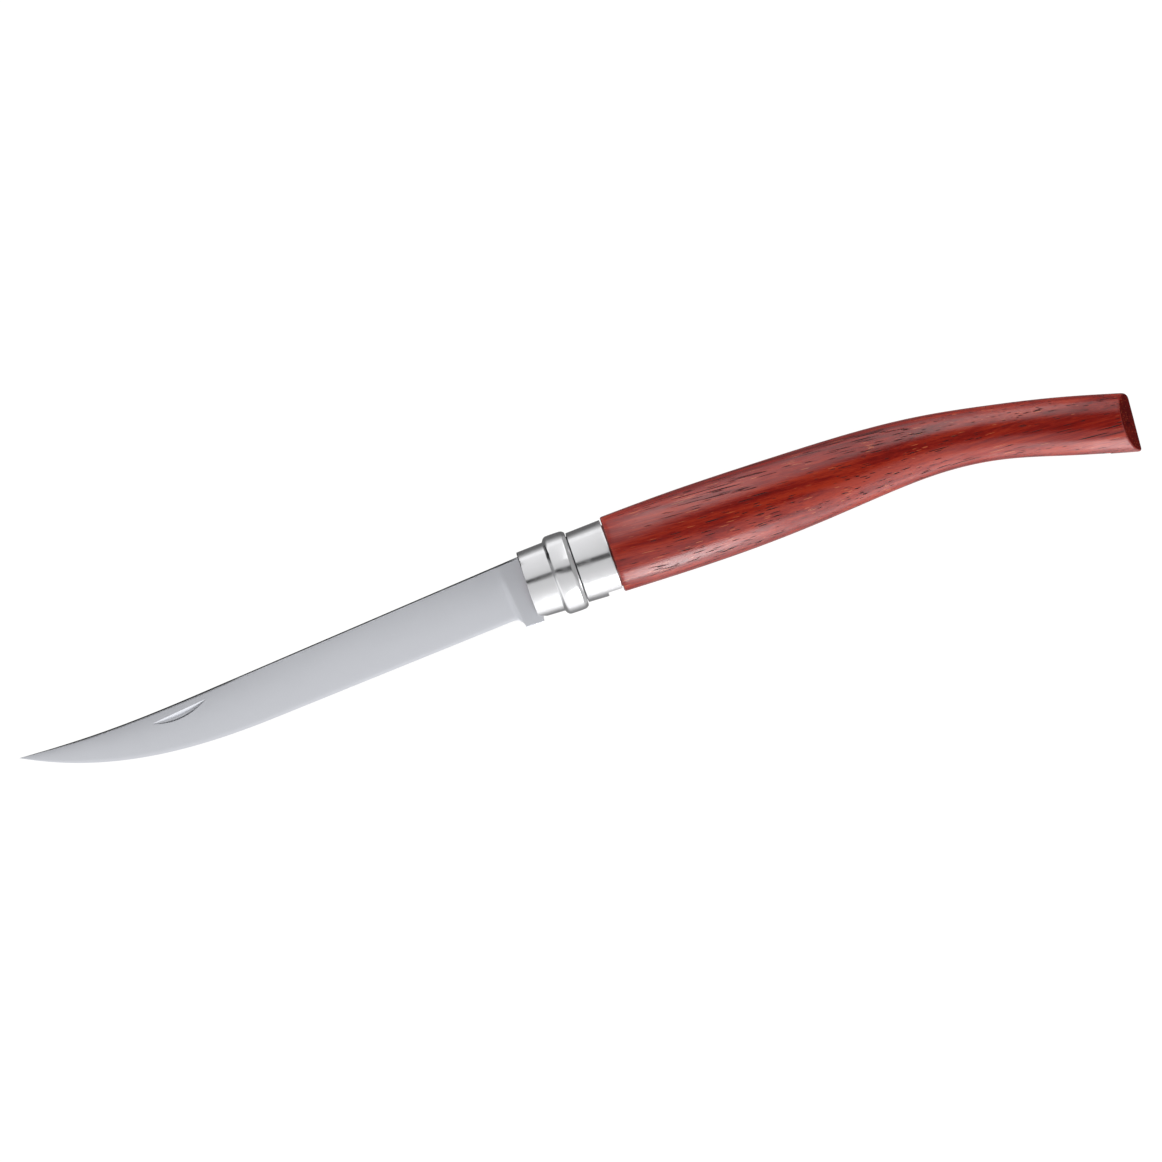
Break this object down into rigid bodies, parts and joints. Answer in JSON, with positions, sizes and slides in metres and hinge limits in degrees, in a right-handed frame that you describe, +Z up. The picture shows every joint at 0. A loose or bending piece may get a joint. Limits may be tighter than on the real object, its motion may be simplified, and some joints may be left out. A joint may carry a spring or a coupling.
{
  "type": "folding knife",
  "caption": "Slim folding knife: satin steel blade with a nail nick, curved red hardwood handle with a fold slot, and a split steel ring that turns on a collar to lock the blade.",
  "frame": {"origin": "on the surface that the open knife lies on, below the middle of its box", "axes": "+X along the collar's axis from the blade's point to the butt, +Y towards the blade's spine, +Z up, square to the blade's face with the nail nick"},
  "size_m": [0.2608, 0.0262, 0.0181],
  "materials": {
    "blade_steel": "fine satin grind",
    "handle_wood": "varnished red hardwood",
    "collar_steel": "polished",
    "ring_steel": "polished",
    "pin_steel": "plain"
  },
  "bodies": {
    "grip": {"handle": "handle_wood", "fixed_collar": "collar_steel", "pivot_pin": "pin_steel"},
    "blade": {"blade": "blade_steel"},
    "ring": {"locking_ring": "ring_steel"}
  },
  "joints": [
    {"name": "blade_fold", "type": "hinge", "parent": "grip", "child": "blade", "pos_m": [-0.00412, 0.00228, 0.00905], "axis": [0, 0, 1], "range_deg": [0, 176]},
    {"name": "ring_turn", "type": "hinge", "parent": "grip", "child": "ring", "pos_m": [-0.0048, 0.00368, 0.00905], "axis": [-1, 0, 0], "range_deg": [0, 100]}
  ]
}
